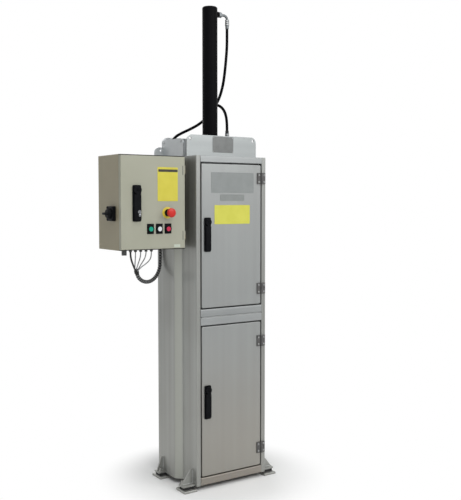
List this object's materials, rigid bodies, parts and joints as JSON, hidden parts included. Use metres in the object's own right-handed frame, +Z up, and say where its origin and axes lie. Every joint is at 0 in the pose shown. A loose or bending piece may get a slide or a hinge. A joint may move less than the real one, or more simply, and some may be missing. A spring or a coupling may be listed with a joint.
{
  "type": "marine waste compactor",
  "caption": "Tall narrow stainless press cabinet with a loading door above an emptying door, a hydraulic cylinder on its roof and a wired control box on its side",
  "frame": {"origin": "Centre of the four deck bolts, on the deck", "axes": "+Z up along the cylinder, +X to the right as the operator sees it, the doors face -Y"},
  "size_m": [0.8193, 0.3275, 2.168],
  "materials": {
    "stainless_sheet": "brushed",
    "plain_steel": "satin",
    "hinge_metal": "satin",
    "box_paint": "satin",
    "black_paint": "gloss",
    "rod_chrome": "polished",
    "black_plastic": "matte",
    "black_rubber": "matte",
    "yellow_plastic": "satin",
    "red_plastic": "gloss",
    "green_plastic": "gloss",
    "white_plastic": "gloss"
  },
  "bodies": {
    "cabinet": {"bottom_rail": "stainless_sheet", "box_body": "box_paint", "box_hinge_pins": "plain_steel", "box_mount_rails": "stainless_sheet", "box_mounting_plate": "plain_steel", "cable_conduit": "black_plastic", "cable_glands": "black_plastic", "collar_front_plate": "stainless_sheet", "collar_left_plate": "stainless_sheet", "collar_right_plate": "stainless_sheet", "conduit_elbow": "black_plastic", "control_cables": "black_rubber", "cylinder_barrel": "black_paint", "cylinder_flange": "plain_steel", "floor_plate": "stainless_sheet", "foot_base_plates": "plain_steel", "foot_bolts": "plain_steel", "foot_brackets": "stainless_sheet", "foot_pads": "black_rubber", "frame_hinge_leaves": "hinge_metal", "hinge_pins": "plain_steel", "hose_fittings": "plain_steel", "left_side_wall": "stainless_sheet", "lower_door_seal": "black_rubber", "lower_head_rail": "stainless_sheet", "lower_hose": "black_rubber", "main_switch_base": "black_plastic", "rear_fixing_plate": "stainless_sheet", "rear_wall": "stainless_sheet", "right_side_wall": "stainless_sheet", "roof_plate": "stainless_sheet", "switchgear": "black_plastic", "top_rail": "stainless_sheet", "upper_door_seal": "black_rubber", "upper_hose": "black_rubber", "upper_sill_rail": "stainless_sheet"},
    "upper_door": {"upper_door": "stainless_sheet", "upper_door_hinge_leaves": "hinge_metal", "upper_handle_base": "black_plastic"},
    "upper_handle_spindle": {"upper_handle_spindle": "black_plastic"},
    "upper_handle_lever": {"upper_handle_lever": "black_plastic"},
    "lower_door": {"lower_door": "stainless_sheet", "lower_door_hinge_leaves": "hinge_metal", "lower_handle_base": "black_plastic"},
    "lower_handle_spindle": {"lower_handle_spindle": "black_plastic"},
    "lower_handle_lever": {"lower_handle_lever": "black_plastic"},
    "box_door": {"box_door": "box_paint", "box_door_seal": "black_rubber", "box_handle_base": "black_plastic", "stop_base": "yellow_plastic", "button_bezels": "black_plastic"},
    "box_handle_spindle": {"box_handle_spindle": "black_plastic"},
    "box_handle_lever": {"box_handle_lever": "black_plastic"},
    "main_switch_knob": {"main_switch_knob": "black_plastic"},
    "stop_head": {"stop_head": "red_plastic"},
    "green_button": {"green_button": "green_plastic"},
    "white_button": {"white_button": "white_plastic"},
    "red_button": {"red_button": "red_plastic"},
    "ram": {"piston_rod": "rod_chrome", "press_plate": "plain_steel"}
  },
  "joints": [
    {"name": "upper_door_hinge", "type": "hinge", "parent": "cabinet", "child": "upper_door", "pos_m": [0.16025, -0.1579, 1.1908], "axis": [0, 0, 1], "range_deg": [0, 110]},
    {"name": "upper_handle_turn", "type": "hinge", "parent": "upper_door", "child": "upper_handle_spindle", "pos_m": [-0.129, -0.1515, 1.1908], "axis": [0, -1, 0], "range_deg": [0, 90]},
    {"name": "upper_handle_lift", "type": "hinge", "parent": "upper_handle_spindle", "child": "upper_handle_lever", "pos_m": [-0.129, -0.1606, 1.1828], "axis": [-1, 0, 0], "range_deg": [0, 35]},
    {"name": "lower_door_hinge", "type": "hinge", "parent": "cabinet", "child": "lower_door", "pos_m": [0.16025, -0.1579, 0.44885], "axis": [0, 0, 1], "range_deg": [0, 110]},
    {"name": "lower_handle_turn", "type": "hinge", "parent": "lower_door", "child": "lower_handle_spindle", "pos_m": [-0.129, -0.1515, 0.44885], "axis": [0, -1, 0], "range_deg": [0, 90]},
    {"name": "lower_handle_lift", "type": "hinge", "parent": "lower_handle_spindle", "child": "lower_handle_lever", "pos_m": [-0.129, -0.1606, 0.44085], "axis": [-1, 0, 0], "range_deg": [0, 35]},
    {"name": "box_door_hinge", "type": "hinge", "parent": "cabinet", "child": "box_door", "pos_m": [-0.2204, -0.1101, 1.276], "axis": [0, 0, 1], "range_deg": [0, 95]},
    {"name": "box_handle_turn", "type": "hinge", "parent": "box_door", "child": "box_handle_spindle", "pos_m": [-0.4575, -0.1245, 1.329], "axis": [0, -1, 0], "range_deg": [0, 90]},
    {"name": "box_handle_lift", "type": "hinge", "parent": "box_handle_spindle", "child": "box_handle_lever", "pos_m": [-0.4575, -0.1336, 1.321], "axis": [-1, 0, 0], "range_deg": [0, 35]},
    {"name": "main_switch_turn", "type": "hinge", "parent": "cabinet", "child": "main_switch_knob", "pos_m": [-0.544, -0.045, 1.23], "axis": [-1, 0, 0], "range_deg": [0, 90]},
    {"name": "stop_press", "type": "slide", "parent": "box_door", "child": "stop_head", "axis": [0, 1, 0], "range_m": [0, 0.005]},
    {"name": "green_button_press", "type": "slide", "parent": "box_door", "child": "green_button", "axis": [0, 1, 0], "range_m": [0, 0.0035], "stiffness_N_per_m": 800},
    {"name": "white_button_press", "type": "slide", "parent": "box_door", "child": "white_button", "axis": [0, 1, 0], "range_m": [0, 0.0035], "stiffness_N_per_m": 800},
    {"name": "red_button_press", "type": "slide", "parent": "box_door", "child": "red_button", "axis": [0, 1, 0], "range_m": [0, 0.0035], "stiffness_N_per_m": 800},
    {"name": "ram_stroke", "type": "slide", "parent": "cabinet", "child": "ram", "axis": [0, 0, 1], "range_m": [-0.58, 0]}
  ]
}
